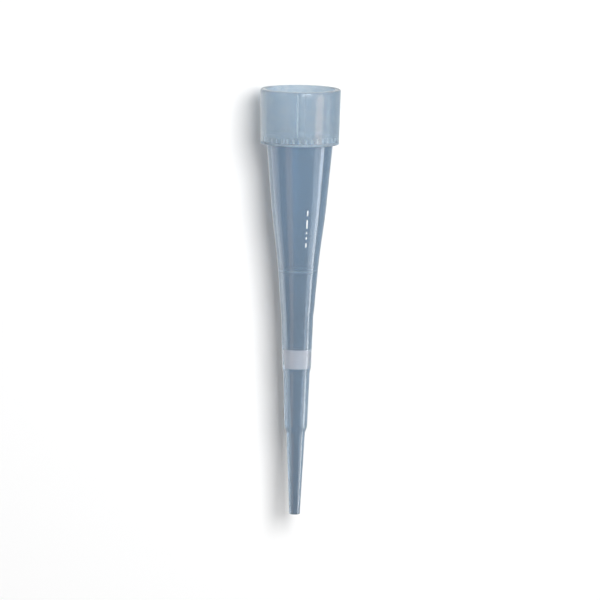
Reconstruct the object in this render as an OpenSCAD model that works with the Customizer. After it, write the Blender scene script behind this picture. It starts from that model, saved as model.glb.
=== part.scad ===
/* [Collar] */
// Height of the collar
collar_h = 4.05; // [3.5:0.05:6]
// Step from the barrel out to the collar
collar_step = 0.44; // [0.4:0.01:0.6]
// Growth of the collar's radius from its upper edge down to its rim
collar_flare = 0.09; // [0:0.01:0.2]
// Wall of the collar at its upper end
collar_wall = 0.36; // [0.34:0.01:0.4]
// Radius on the rim's outer corner
rim_round = 0.13; // [0.05:0.01:0.16]

/* [Cup] */
// Growth of the cup's radius from its floor down to the rim
cup_draft = 0.06; // [0:0.01:0.08]
// Chamfer on the cup's edge
cup_edge = 0.05; // [0.02:0.01:0.06]
// Thickness of the cup's floor
floor_t = 0.2; // [0.15:0.01:0.4]
// Number of ribs round the foot of the cup
rib_count = 36; // [12:4:48]
// Thickness of a rib
rib_t = 0.15; // [0.08:0.01:0.2]
// Height of a rib
rib_h = 0.35; // [0.15:0.05:0.6]
// How far a rib reaches in from the cup's wall
rib_reach = 0.23; // [0.1:0.01:0.25]
// Thickness of the fine ribs down the cup's wall
fine_rib_t = 0.1; // [0.06:0.01:0.16]
// How far a fine rib stands out from that wall
fine_rib_proud = 0.03; // [0.02:0.01:0.05]

/* [Seat] */
// Bore that grips the nozzle of the pipette
seat_d = 4.15; // [3.6:0.05:5]
// Length of the straight part of that bore
seat_len = 1.2; // [0.8:0.1:1.6]
// Chamfer that leads into it
lead_in = 0.12; // [0.06:0.01:0.2]

/* [Body] */
// Wall of the barrel, the funnel and the neck
wall = 0.36; // [0.3:0.01:0.42]
// Length of the barrel above the collar
barrel_len = 4.5; // [3:0.1:7]
// Outer diameter at the barrel's narrow end
barrel_end_d = 4.06; // [3.7:0.02:4.3]
// Length of the funnel
funnel_len = 4.8; // [3:0.1:8]
// Outer diameter at the funnel's narrow end
funnel_end_d = 2.95; // [2.7:0.05:3.4]
// Length of the neck, with the shoulder at its end
neck_len = 3.4; // [2:0.1:5]
// Outer diameter at the neck's narrow end, before the shoulder
neck_end_d = 2.46; // [2.38:0.02:2.8]

/* [Shank] */
// Length of the middle shank, with its shoulder
middle_len = 4.25; // [3:0.05:6]
// Outer diameter at the start of the middle shank
middle_d = 2.36; // [2.2:0.02:2.44]
// Outer diameter at the middle shank's narrow end
middle_end_d = 2.12; // [2:0.02:2.3]
// Length of the lower shank, with its shoulder
lower_len = 4.4; // [3:0.05:6]
// Outer diameter at the start of the lower shank
lower_d = 1.94; // [1.8:0.02:2.1]
// Outer diameter at the lower shank's narrow end
lower_end_d = 1.68; // [1.5:0.02:1.8]
// Length of the short cone that makes each shoulder
shoulder_len = 0.4; // [0.1:0.05:0.8]
// Wall at the narrow end of each shank
shank_wall = 0.52; // [0.4:0.01:0.6]

/* [Point] */
// Length of the point
point_len = 6.1; // [4:0.1:9]
// Outer diameter at the start of the point
point_d = 1.38; // [1.1:0.02:1.5]
// Outer diameter at the orifice
point_end_d = 0.78; // [0.7:0.02:1]
// Bore of the orifice
orifice_d = 0.4; // [0.3:0.02:0.5]

/* [Graduations] */
// Distance of the frosted band from the start of the middle shank
band_start = 2.52; // [0.5:0.02:2.6]
// Height of the frosted band
band_h = 1.4; // [0.5:0.05:1.6]
// Height of the level line at the start of the neck
line_h = 0.12; // [0.06:0.01:0.3]
// Depth of both in the bore's wall
mark_depth = 0.03; // [0.01:0.01:0.06]

/* [Ticks] */
// Thickness of the raised ticks on the funnel
tick_t = 0.11; // [0.06:0.01:0.2]
// How far a tick stands out from the wall
tick_proud = 0.04; // [0.02:0.01:0.08]
// Turn of the row of ticks round the axis, from the front
tick_turn = 19; // [-90:1:90]

/* [Hidden] */
$fn = 96;
eps = 0.05;

// The tip stands on its rim. Heights of where each stretch starts
floor_z = collar_h - floor_t;
barrel_z = collar_h;
funnel_z = barrel_z + barrel_len;
neck_z = funnel_z + funnel_len;
middle_z = neck_z + neck_len;
lower_z = middle_z + middle_len;
point_z = lower_z + lower_len;
orifice_z = point_z + point_len;

// Radii
seat_r = seat_d / 2;
barrel_r = seat_r + wall;
collar_r = barrel_r + collar_step;
rim_r = collar_r + collar_flare;
cup_foot_r = collar_r - collar_wall;
cup_r = cup_foot_r + cup_draft;

// Growth of the radius with height along the barrel and the neck, which the
// funnel runs into at its ends
barrel_slope = (barrel_end_d / 2 - barrel_r) / barrel_len;
neck_slope = (neck_end_d - funnel_end_d) / 2 / (neck_len - shoulder_len);
funnel_steps = 12;

// Each tick's distance from the start of the funnel, and its length
ticks = [[0.3, 0.3], [1, 0.55], [1.87, 0.1], [2.27, 0.1], [2.72, 0.24]];

// The fine ribs' turns round the axis from the front, and their gap to the rim
// and to the ribs at the cup's foot
fine_ribs = [-4, 8];
fine_rib_gap = 0.2;

// Radius of the funnel at a height above its start: a cubic that leaves the
// barrel and meets the neck along their slopes
function funnel_r(z, inset) =
    let (t = z / funnel_len)
    (barrel_end_d / 2 - inset) * (2 * pow(t, 3) - 3 * pow(t, 2) + 1)
    + barrel_slope * funnel_len * (pow(t, 3) - 2 * pow(t, 2) + t)
    + (funnel_end_d / 2 - inset) * (3 * pow(t, 2) - 2 * pow(t, 3))
    + neck_slope * funnel_len * (pow(t, 3) - pow(t, 2));

// The funnel's wall as points, set in by a wall's thickness for the bore
function funnel_points(inset) = [
    for (i = [0 : funnel_steps])
        let (z = i * funnel_len / funnel_steps)
        [funnel_r(z, inset), funnel_z + z]
];

// Radius of the bore at a height above the funnel
function bore_r(z) = lookup(z, [
    [neck_z, funnel_end_d / 2 - wall],
    [middle_z - shoulder_len, neck_end_d / 2 - wall],
    [lower_z - shoulder_len, middle_end_d / 2 - shank_wall],
    [point_z - shoulder_len, lower_end_d / 2 - shank_wall],
    [orifice_z, orifice_d / 2]
]);

// A shape turned round the axis, from its outline's (radius, height) points
module revolved(points) {
    rotate_extrude() polygon(points);
}

// Outside of the tube, from the collar's end face up to the orifice
module tube_outside() {
    revolved(concat(
        [
            [0, floor_z],
            [barrel_r, floor_z],
            [barrel_r, barrel_z]
        ],
        funnel_points(0),
        [
            [neck_end_d / 2, middle_z - shoulder_len],
            [middle_d / 2, middle_z],
            [middle_end_d / 2, lower_z - shoulder_len],
            [lower_d / 2, lower_z],
            [lower_end_d / 2, point_z - shoulder_len],
            [point_d / 2, point_z],
            [point_end_d / 2, orifice_z],
            [0, orifice_z]
        ]
    ));
}

// Outside of the collar, with its draft and its rounded rim
module collar_outside() {
    rotate_extrude() {
        polygon([
            [0, 0],
            [rim_r - rim_round, 0],
            [rim_r - rim_round, rim_round],
            [rim_r, rim_round],
            [collar_r, collar_h],
            [0, collar_h]
        ]);
        translate([rim_r - rim_round, rim_round])
            intersection() {
                circle(rim_round);
                translate([0, -rim_round]) square(rim_round);
            }
    }
}

// The cup inside the collar, with the ribs left standing round its foot
module cup() {
    difference() {
        revolved([
            [0, -eps],
            [cup_r + cup_edge, -eps],
            [cup_r + cup_edge, 0],
            [cup_r, cup_edge],
            [cup_foot_r, floor_z],
            [0, floor_z]
        ]);
        for (i = [0 : rib_count - 1])
            rotate([0, 0, i * 360 / rib_count])
                translate([cup_foot_r - rib_reach, -rib_t / 2, floor_z - rib_h])
                    cube([rib_reach + eps, rib_t, rib_h + eps]);
        for (turn = fine_ribs) fine_rib(turn);
    }
}

// A fine rib: a bead along the cup's wall, sunk until it stands out as it should
module fine_rib(turn) {
    inset = fine_rib_t / 2 - fine_rib_proud;
    bead(
        turn,
        [cup_r + inset, fine_rib_gap],
        [cup_foot_r + inset, floor_z - rib_h - fine_rib_gap],
        fine_rib_t / 2
    );
}

// The way through past the cup: lead-in, straight seat, tapered bore and orifice
module bore() {
    revolved(concat(
        [
            [0, floor_z - eps],
            [seat_r + lead_in, floor_z - eps],
            [seat_r + lead_in, floor_z],
            [seat_r, floor_z + lead_in],
            [seat_r, floor_z + lead_in + seat_len]
        ],
        funnel_points(wall),
        [
            for (z = [middle_z, lower_z, point_z])
                [bore_r(z - shoulder_len), z - shoulder_len]
        ],
        [
            [bore_r(orifice_z), orifice_z],
            [bore_r(orifice_z), orifice_z + eps],
            [0, orifice_z + eps]
        ]
    ));
}

// A shallow step in the bore's wall, which shows through it as a mark
module graduation(start, height) {
    revolved([
        [0, start],
        [bore_r(start) + mark_depth, start],
        [bore_r(start + height) + mark_depth, start + height],
        [0, start + height]
    ]);
}

// A bead between two (radius, height) points, turned from the front
module bead(turn, low, high, r) {
    run = high - low;
    span = norm(run);
    rotate([0, 0, -90 - turn])
        translate([low[0], 0, low[1]])
            rotate([0, atan2(run[0], run[1]), 0]) {
                cylinder(h = span, r = r);
                sphere(r);
                translate([0, 0, span]) sphere(r);
            }
}

// A tick: a short bead along the funnel, sunk until it stands out as it should
module tick(start, length) {
    inset = tick_proud - tick_t / 2;
    bead(
        tick_turn,
        [funnel_r(start, 0) + inset, funnel_z + start],
        [funnel_r(start + length, 0) + inset, funnel_z + start + length],
        tick_t / 2
    );
}

module tip() {
    color([0.62, 0.72, 0.8, 0.75])
        difference() {
            union() {
                tube_outside();
                collar_outside();
                for (t = ticks) tick(t[0], t[1]);
            }
            cup();
            bore();
            graduation(neck_z, line_h);
            graduation(middle_z + band_start, band_h);
        }
}

tip();
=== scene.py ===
"""The looks of a pipette tip: one translucent polypropylene moulding that stands on its rim.

The tip's sizes are those of the construction, in millimetres, and become metres where its mesh is
made. The stage, the lamps and the camera are in metres. The camera is turned over, so that the
collar is at the top of the picture.
"""

import math

import bpy
from mathutils import Matrix, Vector


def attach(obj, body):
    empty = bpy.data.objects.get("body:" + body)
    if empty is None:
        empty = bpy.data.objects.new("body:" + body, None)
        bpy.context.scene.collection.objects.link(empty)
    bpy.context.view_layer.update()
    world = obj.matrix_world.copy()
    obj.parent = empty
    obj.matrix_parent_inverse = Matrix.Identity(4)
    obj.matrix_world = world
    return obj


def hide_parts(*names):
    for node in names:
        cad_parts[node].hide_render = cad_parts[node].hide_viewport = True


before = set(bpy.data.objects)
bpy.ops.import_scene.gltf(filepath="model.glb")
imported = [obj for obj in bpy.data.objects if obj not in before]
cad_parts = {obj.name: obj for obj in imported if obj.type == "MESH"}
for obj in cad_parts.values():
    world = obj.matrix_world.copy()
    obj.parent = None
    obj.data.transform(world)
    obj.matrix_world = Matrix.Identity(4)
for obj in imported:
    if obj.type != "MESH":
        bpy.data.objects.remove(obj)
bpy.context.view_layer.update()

MM = 0.001

# Collar
COLLAR_H = 4.05
COLLAR_STEP = 0.44
COLLAR_FLARE = 0.09
COLLAR_WALL = 0.36
RIM_ROUND = 0.13

# Cup in the collar, with the ribs round its foot and the fine ribs down its wall
CUP_DRAFT = 0.06
CUP_EDGE = 0.05
FLOOR_T = 0.2
RIB_COUNT = 36
RIB_T = 0.15
RIB_H = 0.35
RIB_REACH = 0.23
FINE_RIB_TURNS = (-4, 8)
FINE_RIB_R = 0.05
FINE_RIB_PROUD = 0.03
FINE_RIB_GAP = 0.2

# Seat for the nozzle, with the chamfer that leads into it
SEAT_R = 2.075
SEAT_LEN = 1.2
LEAD_IN = 0.12

# Barrel, funnel and neck
WALL = 0.36
BARREL_LEN = 4.5
BARREL_END_R = 2.03
FUNNEL_LEN = 4.8
FUNNEL_END_R = 1.475
NECK_LEN = 3.4
NECK_END_R = 1.23

# Shanks and point, with the shoulder at the end of the neck and of each shank
SHANK_WALL = 0.52
MIDDLE_LEN = 4.25
MIDDLE_R = 1.18
MIDDLE_END_R = 1.06
LOWER_LEN = 4.4
LOWER_R = 0.97
LOWER_END_R = 0.84
POINT_LEN = 6.1
POINT_R = 0.69
POINT_END_R = 0.39
ORIFICE_R = 0.2
SHOULDER = 0.4

# Heights of where each stretch starts
FLOOR_Z = COLLAR_H - FLOOR_T
FUNNEL_Z = COLLAR_H + BARREL_LEN
NECK_Z = FUNNEL_Z + FUNNEL_LEN
MIDDLE_Z = NECK_Z + NECK_LEN
LOWER_Z = MIDDLE_Z + MIDDLE_LEN
POINT_Z = LOWER_Z + LOWER_LEN
ORIFICE_Z = POINT_Z + POINT_LEN
FINE_RIB_TOP = FLOOR_Z - RIB_H - FINE_RIB_GAP

# Radii that follow from others
BARREL_R = SEAT_R + WALL
COLLAR_R = BARREL_R + COLLAR_STEP
RIM_R = COLLAR_R + COLLAR_FLARE
CUP_FOOT_R = COLLAR_R - COLLAR_WALL
CUP_R = CUP_FOOT_R + CUP_DRAFT
RIB_INNER_R = CUP_FOOT_R - RIB_REACH

# Angles of the ribs in radians: from one to the next, and from a rib's middle to its side
RIB_PITCH = 2 * math.pi / RIB_COUNT
RIB_HALF = math.asin(RIB_T / 2 / CUP_FOOT_R)

# Radius of the bore by height, above the funnel
BORE = (
    (NECK_Z, FUNNEL_END_R - WALL),
    (MIDDLE_Z - SHOULDER, NECK_END_R - WALL),
    (LOWER_Z - SHOULDER, MIDDLE_END_R - SHANK_WALL),
    (POINT_Z - SHOULDER, LOWER_END_R - SHANK_WALL),
    (ORIFICE_Z, ORIFICE_R),
)

# Marks in the bore's wall: their depth, and the heights between which each lies
MARK_DEPTH = 0.03
LINE_H = 0.12
BAND_START = 2.52
BAND_H = 1.4
LEVEL_LINE = (NECK_Z, NECK_Z + LINE_H)
FROSTED_BAND = (MIDDLE_Z + BAND_START, MIDDLE_Z + BAND_START + BAND_H)

# Raised ticks on the funnel: distance from its start and length
TICKS = ((0.3, 0.3), (1.0, 0.55), (1.87, 0.1), (2.27, 0.1), (2.72, 0.24))
TICK_R = 0.055
TICK_PROUD = 0.04
TICK_TURN = 19

# Small roundings that the solids lack: on the collar's upper corner and at the shoulders
COLLAR_EDGE = 0.05
SHOULDER_EASE = 0.1

# Ticks and the fine rib that shows are painted white, a painted glint, where they stand out by more than
# this
TICK_PAINTED_GLINT_HEIGHT = 0.015
FINE_RIB_PAINTED_GLINT_HEIGHT = 0.008

# Steps of the mesh along each stretch, in each rounding, and round the axis between two ribs
BARREL_STEPS = 7
FUNNEL_STEPS = 96
BORE_STEPS = 48
CUP_STEPS = 6
SKIRT_STEPS = 8
RIM_STEPS = 6
EASE_STEPS = 4
GAP_STEPS = 4

# Steps round the axis at ticks and fine ribs: degrees from one to the next, how many to each side,
# and the least distance in degrees from the other steps
CLOSE_STEP = 0.25
CLOSE_COUNT = 10
CLOSE_LEAST = 0.08

# Material slots of the moulding: the tube, the frosted band, the ticks painted white as a painted glint,
# the collar with its cup, the ribs and the fine rib painted white as a painted glint, the collar's end
# painted paler as painted light against a dark line, and the level line
TUBE, BAND, TICK, COLLAR, RIB, COLLAR_END, LINE = range(7)


def lerp(stations, z):
    """Value at height z between (height, value) stations."""
    for (z0, v0), (z1, v1) in zip(stations, stations[1:]):
        if z <= z1:
            return v0 + (v1 - v0) * (z - z0) / (z1 - z0)
    return stations[-1][1]


def funnel_r(z, inset=0.0):
    """Outer radius of the funnel at height z, less inset.

    It is a cubic that leaves the barrel and meets the neck along their slopes.
    """
    barrel_slope = (BARREL_END_R - BARREL_R) / BARREL_LEN
    neck_slope = (NECK_END_R - FUNNEL_END_R) / (NECK_LEN - SHOULDER)
    t = (z - FUNNEL_Z) / FUNNEL_LEN
    return (
        (BARREL_END_R - inset) * (2 * t**3 - 3 * t**2 + 1)
        + barrel_slope * FUNNEL_LEN * (t**3 - 2 * t**2 + t)
        + (FUNNEL_END_R - inset) * (3 * t**2 - 2 * t**3)
        + neck_slope * FUNNEL_LEN * (t**3 - t**2)
    )


def spread(start, end, steps):
    """Heights from start to end in even steps, both ends kept."""
    return [start + (end - start) * i / steps for i in range(steps)] + [end]


def eased(points, reach, share=0.45):
    """An outline with each corner but its two ends turned into a curve.

    The curve starts reach before the corner, but takes no more than a share of either stretch.
    """
    out = [points[0]]
    for a, b, c in zip(points, points[1:], points[2:]):
        a, b, c = Vector(a), Vector(b), Vector(c)
        before, after = a - b, c - b
        r = min(reach, before.length * share, after.length * share)
        p, q = b + before.normalized() * r, b + after.normalized() * r
        for i in range(EASE_STEPS + 1):
            t = i / EASE_STEPS
            out.append(tuple(p * (1 - t) ** 2 + b * 2 * t * (1 - t) + q * t**2))
    out.append(points[-1])
    return out


def tube_outside():
    """Outer outline from the collar's upper face up to the edge of the orifice, as (radius, height)."""
    barrel = ((COLLAR_H, BARREL_R), (FUNNEL_Z, BARREL_END_R))
    outline = [(lerp(barrel, z), z) for z in spread(COLLAR_H, FUNNEL_Z, BARREL_STEPS)[:-1]]
    outline += [(funnel_r(z), z) for z in spread(FUNNEL_Z, NECK_Z, FUNNEL_STEPS)]
    stepped = eased(
        [
            (FUNNEL_END_R, NECK_Z),
            (NECK_END_R, MIDDLE_Z - SHOULDER), (MIDDLE_R, MIDDLE_Z),
            (MIDDLE_END_R, LOWER_Z - SHOULDER), (LOWER_R, LOWER_Z),
            (LOWER_END_R, POINT_Z - SHOULDER), (POINT_R, POINT_Z),
            (POINT_END_R, ORIFICE_Z), (ORIFICE_R, ORIFICE_Z),
        ],
        SHOULDER_EASE,
    )
    return outline + stepped[1:]


def marked(z):
    """Depth of the marks in the bore's wall at height z."""
    return MARK_DEPTH if any(low <= z <= high for low, high in (LEVEL_LINE, FROSTED_BAND)) else 0.0


def bore_inside():
    """Outline of the way through from the orifice down to the cup's ribs, as (radius, height)."""
    edges = LEVEL_LINE + FROSTED_BAND
    just_off = 0.01
    outline = []
    for z in sorted({z for z, _ in BORE} | set(edges), reverse=True):
        r = lerp(BORE, z)
        if z in edges:
            outline += [(r + marked(z + just_off), z), (r + marked(z - just_off), z)]
        else:
            outline.append((r + marked(z), z))
    outline += [(funnel_r(z, WALL), z) for z in spread(NECK_Z, FUNNEL_Z, BORE_STEPS)[1:]]
    outline += [(SEAT_R, FLOOR_Z + LEAD_IN + SEAT_LEN), (SEAT_R, FLOOR_Z + LEAD_IN)]
    return outline + [(SEAT_R + LEAD_IN, FLOOR_Z), (RIB_INNER_R, FLOOR_Z)]


def bore_slot(z):
    """Material slot of the bore's wall at height z."""
    if FROSTED_BAND[0] < z < FROSTED_BAND[1]:
        return BAND
    if LEVEL_LINE[0] < z < LEVEL_LINE[1]:
        return LINE
    return COLLAR if z < FLOOR_Z + LEAD_IN else TUBE


def cup_r(z):
    """Radius of the cup at height z."""
    return lerp(((CUP_EDGE, CUP_R), (FLOOR_Z, CUP_FOOT_R)), z)


def cup_inside():
    """Outline of the cup's wall from the foot of its ribs down to the rim, as (radius, height).

    Its points are close together at the rounded ends of the fine ribs.
    """
    close = [FINE_RIB_R * f for f in (1, 0.7, 0.4, 0, -0.4, -0.7, -1)]
    ends = [z + f for z in (FINE_RIB_TOP, FINE_RIB_GAP) for f in close]
    between = spread(FINE_RIB_TOP, FINE_RIB_GAP, CUP_STEPS)[1:-1]
    heights = sorted([FLOOR_Z - RIB_H, CUP_EDGE] + ends + between, reverse=True)
    return [(cup_r(z), z) for z in heights] + [(CUP_R + CUP_EDGE, 0)]


def rim_and_skirt():
    """Outline from the cup's edge over the rim and up to the collar's upper face, as (radius, height)."""
    arc = [(RIM_R - RIM_ROUND + RIM_ROUND * math.sin(a), RIM_ROUND - RIM_ROUND * math.cos(a))
           for a in [math.radians(90 * i / RIM_STEPS) for i in range(RIM_STEPS + 1)]]
    sides = ((RIM_ROUND, RIM_R), (COLLAR_H, COLLAR_R))
    heights = spread(RIM_ROUND, FLOOR_Z, SKIRT_STEPS)[1:] + [COLLAR_H - COLLAR_EDGE]
    # A round passes its corner at 0.3 of its radius from either face
    inset = COLLAR_EDGE * 0.3
    corner = [(COLLAR_R - inset, COLLAR_H - inset), (COLLAR_R - COLLAR_EDGE, COLLAR_H)]
    return arc + [(lerp(sides, z), z) for z in heights] + corner


def from_front(turn):
    """Angle round the axis, in radians, of a turn from the front in degrees."""
    return math.radians(270 - turn)


def angles():
    """Angles round the axis: close together at ticks and fine ribs, and with a step at each rib's sides."""
    gap = RIB_PITCH - 2 * RIB_HALF
    even = []
    for i in range(RIB_COUNT):
        even += [i * RIB_PITCH + f for f in (-RIB_HALF, 0, RIB_HALF)]
        even += [i * RIB_PITCH + RIB_HALF + gap * j / GAP_STEPS for j in range(1, GAP_STEPS)]
    found = list(even)
    for turn in (TICK_TURN,) + FINE_RIB_TURNS:
        close = [from_front(turn + CLOSE_STEP * i) for i in range(-CLOSE_COUNT, CLOSE_COUNT + 1)]
        found += [a for a in close if min(abs(a - e) for e in even) > math.radians(CLOSE_LEAST)]
    return sorted(found)


def is_rib(angle):
    """True where an angle lies inside a rib."""
    off = (angle + RIB_PITCH / 2) % RIB_PITCH - RIB_PITCH / 2
    return abs(off) < RIB_HALF


def bead_height(across, z, low, high, radius, proud):
    """How far a sunken bead stands out at a point across from its middle line and at height z."""
    along = max(low - z, z - high, 0.0)
    left = radius**2 - across**2 - along**2
    return max(0.0, math.sqrt(left) - (radius - proud)) if left > 0 else 0.0


def tick_height(angle, r, z):
    """How far the ticks stand out from the tube at a point."""
    across = (angle - from_front(TICK_TURN)) * r
    return max(bead_height(across, z, FUNNEL_Z + start, FUNNEL_Z + start + length, TICK_R, TICK_PROUD)
               for start, length in TICKS)


def fine_rib_height(angle, r, z, turns=FINE_RIB_TURNS):
    """How far the fine ribs stand in from the cup's wall at a point."""
    across = [(angle - from_front(turn)) * r for turn in turns]
    return max(bead_height(a, z, FINE_RIB_GAP, FINE_RIB_TOP, FINE_RIB_R, FINE_RIB_PROUD) for a in across)


class Shell:
    """Rings of points round the axis, and the faces between them with their material slots."""

    def __init__(self):
        self.angles = angles()
        self.verts, self.faces, self.slots = [], [], []

    def ring(self, r, z, bump=lambda angle, r, z: 0.0):
        """Adds a ring that is moved out by bump, and returns the number of its first point."""
        start = len(self.verts)
        for angle in self.angles:
            out = r + bump(angle, r, z)
            self.verts.append((out * math.cos(angle) * MM, out * math.sin(angle) * MM, z * MM))
        return start

    def face(self, corners, slot):
        self.faces.append(corners)
        self.slots.append(slot)

    def band(self, a, b, slot, where=lambda j: True):
        """Joins two rings by a face at each step round the axis for which where is true."""
        count = len(self.angles)
        for j in range(count):
            if where(j):
                k = (j + 1) % count
                self.face((a + j, a + k, b + k, b + j), slot)

    def ribs(self, floor, corner, rib_end, wall):
        """Faces from the floor's ring to the wall's, over each rib and into the corner between ribs."""
        after = self.angles[1:] + [self.angles[0] + 2 * math.pi]
        rib = [is_rib((a + b) / 2) for a, b in zip(self.angles, after)]
        self.band(floor, corner, COLLAR, lambda j: not rib[j])
        self.band(corner, wall, COLLAR, lambda j: not rib[j])
        # The ribs take the white material: a painted glint
        self.band(floor, rib_end, RIB, lambda j: rib[j])
        self.band(rib_end, wall, RIB, lambda j: rib[j])
        for j in range(len(rib)):
            if rib[j - 1] != rib[j]:
                side = (floor + j, corner + j, wall + j, rib_end + j)
                self.face(side[::-1] if rib[j] else side, RIB)


def tip_shell():
    """The moulding's surface: from the rim up the outside, and back through the bore and the cup."""
    shell = Shell()
    skirt = [shell.ring(r, z) for r, z in rim_and_skirt()]
    tube = [shell.ring(r, z, tick_height) for r, z in tube_outside()]
    way = bore_inside()
    bore = [tube[-1]] + [shell.ring(r, z) for r, z in way[1:]]
    corner = shell.ring(CUP_FOOT_R, FLOOR_Z)
    rib_end = shell.ring(RIB_INNER_R, FLOOR_Z - RIB_H)
    cup = [shell.ring(r, z, lambda *at: -fine_rib_height(*at)) for r, z in cup_inside()]

    # The collar's foot and upper face take a paler material: painted light against a dark refraction line
    for a, b, (_, z) in zip(skirt, skirt[1:] + [tube[0]], rim_and_skirt()):
        shell.band(a, b, COLLAR_END if z in (FLOOR_Z, COLLAR_H) else COLLAR)
    for a, b in zip(tube, tube[1:]):
        shell.band(a, b, TUBE)
    for a, b, (_, high), (_, low) in zip(bore, bore[1:], way, way[1:]):
        shell.band(a, b, bore_slot((high + low) / 2))
    shell.ribs(bore[-1], corner, rib_end, cup[0])
    for a, b in zip(cup, cup[1:] + [skirt[0]]):
        shell.band(a, b, COLLAR)
    return shell


def mark_faces(shell):
    """Gives the ticks' faces, and those of the fine rib that shows, their white material: a painted glint.
    """
    for i, face in enumerate(shell.faces):
        centre = sum((Vector(shell.verts[v]) for v in face), Vector()) / len(face) / MM
        r, z = math.hypot(centre.x, centre.y), centre.z
        angle = math.atan2(centre.y, centre.x) % (2 * math.pi)
        if FUNNEL_Z < z < NECK_Z and r > funnel_r(z, WALL / 2):
            if tick_height(angle, funnel_r(z), z) > TICK_PAINTED_GLINT_HEIGHT:
                shell.slots[i] = TICK
        elif FINE_RIB_GAP < z < FLOOR_Z - RIB_H and r < CUP_R:
            if fine_rib_height(angle, cup_r(z), z, FINE_RIB_TURNS[:1]) > FINE_RIB_PAINTED_GLINT_HEIGHT:
                shell.slots[i] = RIB


def make_tip(materials):
    """The whole moulding as one closed mesh, with its materials in the order of their slots."""
    sharp_from = math.radians(35)
    shell = tip_shell()
    mark_faces(shell)
    used = sorted(set(v for face in shell.faces for v in face))
    place = {v: i for i, v in enumerate(used)}
    mesh = bpy.data.meshes.new("tip_moulding")
    mesh.from_pydata([shell.verts[v] for v in used], [], [[place[v] for v in face] for face in shell.faces])
    for material in materials:
        mesh.materials.append(material)
    mesh.polygons.foreach_set("material_index", shell.slots)
    mesh.shade_smooth()
    mesh.set_sharp_from_angle(angle=sharp_from)
    mesh.update()
    tip = bpy.data.objects.new("tip_moulding", mesh)
    bpy.context.scene.collection.objects.link(tip)
    return tip


class Nodes:
    """Builds the node tree of a material or a world with short calls."""

    def __init__(self, owner, output):
        owner.use_nodes = True
        self.owner = owner
        self.tree = owner.node_tree
        self.tree.nodes.clear()
        self.output = self.add(output)

    def add(self, kind, inputs=None, **settings):
        """Adds a node. An input is a value, or the output of another node."""
        node = self.tree.nodes.new(kind)
        for key, value in settings.items():
            setattr(node, key, value)
        for key, value in (inputs or {}).items():
            if isinstance(value, bpy.types.NodeSocket):
                self.tree.links.new(value, node.inputs[key])
            else:
                node.inputs[key].default_value = value
        return node

    def place(self):
        """The point that is shaded, in the object's own space and in metres."""
        return self.add("ShaderNodeTexCoord").outputs["Object"]

    def noise(self, scale, detail):
        """Noise over the object, with about scale cells to a metre."""
        inputs = {"Vector": self.place(), "Scale": scale, "Detail": detail}
        return self.add("ShaderNodeTexNoise", inputs).outputs["Fac"]

    def ranged(self, value, low, high):
        """A value from 0 to 1 mapped to the range from low to high."""
        inputs = {"Value": value, "To Min": low, "To Max": high}
        return self.add("ShaderNodeMapRange", inputs).outputs["Result"]

    def bumped(self, height, strength):
        """A normal that follows a height of up to 0.02 mm."""
        bump = self.add("ShaderNodeBump", {"Height": height, "Strength": strength, "Distance": 0.02 * MM})
        return bump.outputs["Normal"]

    def mixed(self, share, a, b):
        """A colour between a and b."""
        mix = self.add("ShaderNodeMix", {"Factor": share, "A": a, "B": b}, data_type="RGBA")
        return mix.outputs["Result"]

    def maximum(self, a, b):
        return self.add("ShaderNodeMath", {0: a, 1: b}, operation="MAXIMUM").outputs[0]

    def finish(self, kind, inputs):
        """Sends a last node to the output and returns the material or world."""
        last = self.add(kind, inputs)
        self.tree.links.new(last.outputs[0], self.output.inputs["Surface"])
        return self.owner

    def plastic(self, colour, rough, clear, **more):
        """Finishes a material as plastic: clear is the share of light that passes through."""
        inputs = {"Base Color": colour, "Roughness": rough, "IOR": 1.49, "Transmission Weight": clear}
        return self.finish("ShaderNodeBsdfPrincipled", inputs | more)


def material_nodes(name):
    return Nodes(bpy.data.materials.new(name), "ShaderNodeOutputMaterial")


def plastic_material():
    """The tube's plastic: slightly hazed, darker towards the point and paler over the frosted band."""
    upper, lower, point = (0.33, 0.45, 0.57, 1), (0.31, 0.41, 0.51, 1), (0.27, 0.36, 0.45, 1)
    over_band = (0.44, 0.50, 0.57, 1)
    low, high = FROSTED_BAND
    n = material_nodes("translucent_polypropylene")
    haze = n.noise(scale=900.0, detail=3.0)
    height = n.add("ShaderNodeSeparateXYZ", {"Vector": n.place()}).outputs["Z"]
    along = n.add("ShaderNodeMapRange", {"Value": height, "From Max": ORIFICE_Z * MM})
    tint = n.add("ShaderNodeValToRGB", {"Fac": along.outputs["Result"]})
    ramp = tint.color_ramp
    ramp.elements[0].position, ramp.elements[0].color = FUNNEL_Z / ORIFICE_Z, upper
    ramp.elements[1].color = point
    for z, colour in ((MIDDLE_Z, lower), (low, lower), (low, over_band), (high, over_band), (high, lower)):
        ramp.elements.new(z / ORIFICE_Z).color = colour
    rough = n.ranged(haze, 0.1, 0.2)
    return n.plastic(tint.outputs["Color"], rough, clear=0.78, Normal=n.bumped(haze, 0.02))


def hazed_material():
    """The collar's plastic: its mould is roughened, which leaves it paler and cloudy."""
    n = material_nodes("hazed_polypropylene")
    cloud = n.noise(scale=2400.0, detail=4.0)
    patch = n.add("ShaderNodeMapRange", {"Value": cloud, "From Min": 0.35, "From Max": 0.65})
    pale = n.mixed(patch.outputs["Result"], (0.45, 0.57, 0.68, 1), (0.58, 0.67, 0.74, 1))
    rough = n.ranged(cloud, 0.12, 0.24)
    return n.plastic(pale, rough, clear=0.79, Normal=n.bumped(cloud, 0.1))


def frosted_material(name, colour, clear, rough=(0.5, 0.8)):
    """Roughened plastic that scatters light, also used for the painted glints on ticks and ribs and the
    painted light at the collar's end: clear is the share that still passes through.
    """
    n = material_nodes(name)
    grain = n.noise(scale=9000.0, detail=2.0)
    return n.plastic(colour + (1,), n.ranged(grain, *rough), clear)


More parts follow.
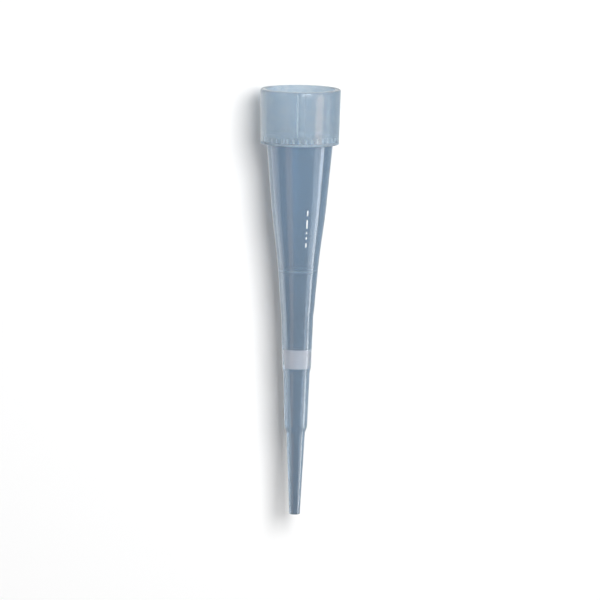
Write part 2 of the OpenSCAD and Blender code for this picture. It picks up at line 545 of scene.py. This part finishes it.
# Directions: to the front, up the tip, and to the picture's right. The tip's middle, in metres
FRONT = Vector((0, -1, 0))
ALONG = Vector((0, 0, 1))
RIGHT = Vector((-1, 0, 0))
MIDDLE = Vector((0, 0, ORIFICE_Z * MM / 2))


def one_sided(name, colour, shadows_pass, glow):
    """A pale surface for what meets its front, with a share of plain white, glow, for the camera alone.

    Gloss and glass look past it to the world, which is white too. Where shadows_pass is true, lamps
    shine through it.
    """
    n = material_nodes(name)
    path = n.add("ShaderNodeLightPath").outputs
    hidden = n.add("ShaderNodeNewGeometry").outputs["Backfacing"]
    for ray in ["Is Transmission Ray", "Is Glossy Ray"] + (["Is Shadow Ray"] if shadows_pass else []):
        hidden = n.maximum(hidden, path[ray])
    share = n.add("ShaderNodeMath", {0: path["Is Camera Ray"], 1: glow}, operation="MULTIPLY")
    pale = n.add("ShaderNodeBsdfDiffuse", {"Color": colour})
    white = n.add("ShaderNodeEmission", {"Strength": 1.0})
    front = n.add("ShaderNodeMixShader", {0: share.outputs[0], 1: pale.outputs[0], 2: white.outputs[0]})
    clear = n.add("ShaderNodeBsdfTransparent")
    return n.finish("ShaderNodeMixShader", {0: hidden, 1: front.outputs[0], 2: clear.outputs[0]})


def make_plane(name, centre, u, v, half, material):
    """A square of the stage, with sides along u and v, that faces the way of u x v."""
    corners = [centre + u * half * a + v * half * b for a, b in ((-1, -1), (1, -1), (1, 1), (-1, 1))]
    mesh = bpy.data.meshes.new(name)
    mesh.from_pydata(corners, [], [(0, 1, 2, 3)])
    mesh.materials.append(material)
    plane = bpy.data.objects.new(name, mesh)
    bpy.context.scene.collection.objects.link(plane)
    return plane


def make_stage():
    """A white backdrop close behind the tip, and a white floor that sends no light to rough surfaces."""
    gap = 0.08
    behind = Vector((0, (RIM_R + gap) * MM, 0))
    white = (0.97, 0.97, 0.97, 1)
    make_plane("backdrop", behind, Vector((1, 0, 0)), ALONG, 0.35,
               one_sided("backdrop_white", white, False, 0.08))
    floor = make_plane("floor", Vector(), Vector((1, 0, 0)), Vector((0, 1, 0)), 0.6,
                       one_sided("floor_white", white, True, 0.8))
    floor.visible_diffuse = False


def softbox(name, turn, size, level, colour=(1, 1, 1), distance=0.25):
    """An area lamp that faces the tip's middle and looks as bright as level from there.

    Its turn is two angles in degrees from square to the backdrop: to the right, and up the tip.
    """
    a, b = [math.radians(angle) for angle in turn]
    to_lamp = (FRONT * math.cos(a) * math.cos(b) + RIGHT * math.sin(a) * math.cos(b)
               + ALONG * math.sin(b))
    data = bpy.data.lights.new(name, "AREA")
    data.shape = "RECTANGLE"
    data.size, data.size_y = size
    data.energy = level * math.pi * size[0] * size[1]
    data.color = colour
    lamp = bpy.data.objects.new(name, data)
    up = (ALONG - to_lamp * ALONG.dot(to_lamp)).normalized()
    axes = Matrix((up.cross(to_lamp), up, to_lamp)).transposed().to_4x4()
    lamp.matrix_world = Matrix.Translation(MIDDLE + to_lamp * distance) @ axes
    lamp.visible_camera = False
    bpy.context.scene.collection.objects.link(lamp)
    return lamp


def make_lamps():
    """The key lights the scene. Four lamps draw only highlights, and the last lights the left edge."""
    softbox("key", turn=(19, -18), size=(0.14, 0.16), level=12.9, distance=0.3)
    highlights = (
        softbox("side", turn=(90, 17), size=(0.066, 0.09), level=7.8),
        softbox("glow", turn=(70, 20), size=(0.115, 0.09), level=2.2),
        softbox("collar_glow", turn=(58, 3), size=(0.11, 0.04), level=4.5, colour=(1, 0.7, 0.5)),
        softbox("streak", turn=(-40, 17), size=(0.11, 0.09), level=1.3, colour=(1, 0.6, 0.35)),
    )
    for lamp in highlights:
        lamp.visible_diffuse = False
    edge = softbox("left_edge", turn=(-105, 17), size=(0.18, 0.09), level=1.8, colour=(1, 0.95, 0.93))
    edge.visible_transmission = False


def panelled(n, colour, panels):
    """A world's colour with soft panels on it.

    Each is the angle aside of its middle, its outer and inner half-width in degrees, and its colour.
    """
    place = n.add("ShaderNodeTexCoord").outputs["Generated"]
    for aside, outer, inner, panel in panels:
        angle = math.radians(aside)
        middle = FRONT * math.cos(angle) + RIGHT * math.sin(angle)
        towards = n.add("ShaderNodeVectorMath", {0: place, 1: middle}, operation="DOT_PRODUCT")
        share = n.add("ShaderNodeMapRange", {
            "Value": towards.outputs["Value"],
            "From Min": math.cos(math.radians(outer)),
            "From Max": math.cos(math.radians(inner)),
        })
        colour = n.mixed(share.outputs["Result"], colour, panel + (1,))
    return colour


def make_world(walls, panels, flags):
    """White for the camera, and for gloss and glass apart from the flags beside the tip.

    Rough surfaces are lit by the studio's walls and the panels on them.
    """
    white = (1, 1, 1, 1)
    world = bpy.data.worlds.new("studio")
    bpy.context.scene.world = world
    n = Nodes(world, "ShaderNodeOutputWorld")
    path = n.add("ShaderNodeLightPath").outputs
    gloss_or_glass = n.maximum(path["Is Glossy Ray"], path["Is Transmission Ray"])
    seen = n.mixed(gloss_or_glass, panelled(n, walls + (1,), panels), panelled(n, white, flags))
    n.finish("ShaderNodeBackground", {"Color": n.mixed(path["Is Camera Ray"], seen, white)})


def make_camera():
    """A long lens from slightly below the floor's plane, turned over and leaning a little."""
    distance = 1.2
    frame_width = 0.04415
    lean = math.radians(0.84)
    look_up = math.radians(6.6)
    # The picture's middle lies this far to the right of the tip's middle and above it
    aside, above = 0.000184, 0.000127
    data = bpy.data.cameras.new("camera")
    data.sensor_width = 36
    data.lens = data.sensor_width * distance / frame_width
    data.clip_start, data.clip_end = 0.1, 10
    camera = bpy.data.objects.new("camera", data)
    back = FRONT * math.cos(look_up) - ALONG * math.sin(look_up)
    along = ALONG * math.cos(look_up) + FRONT * math.sin(look_up)
    up = -along * math.cos(lean) - RIGHT * math.sin(lean)
    right = up.cross(back)
    turn = Matrix((right, up, back)).transposed().to_4x4()
    aim = MIDDLE + right * aside + up * above
    camera.matrix_world = Matrix.Translation(aim + back * distance) @ turn
    bpy.context.scene.collection.objects.link(camera)
    bpy.context.scene.camera = camera


tip = make_tip([
    plastic_material(),
    frosted_material("frosted_band", (1.0, 0.97, 1.0), 0.06),
    # Ticks painted white: a painted glint
    frosted_material("tick_painted_glint", (0.95, 0.96, 0.97), 0.0, rough=(0.4, 0.6)),
    hazed_material(),
    # Ribs and the fine rib that shows painted white: a painted glint
    frosted_material("ribs_painted_glint", (0.93, 0.97, 1.0), 0.0),
    # The collar's end painted paler: painted light that softens the dark line refraction leaves at its foot
    frosted_material("collar_end_painted_light", (0.72, 0.85, 0.96), 0.74),
    frosted_material("level_line", (0.84, 0.93, 1.0), 0.6),
])
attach(tip, "root")
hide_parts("tip")

make_stage()
make_lamps()
make_world(
    walls=(0.18, 0.18, 0.18),
    panels=[
        (-90, 180, 0, (0.35, 0.35, 0.35)),
        (180, 90, 30, (0.17, 0.22, 0.29)),
        (118, 45, 10, (0.32, 0.41, 0.50)),
    ],
    flags=[(132, 40, 20, (0.55, 0.63, 0.7))],
)
make_camera()

bpy.context.scene.view_settings.view_transform = "Standard"
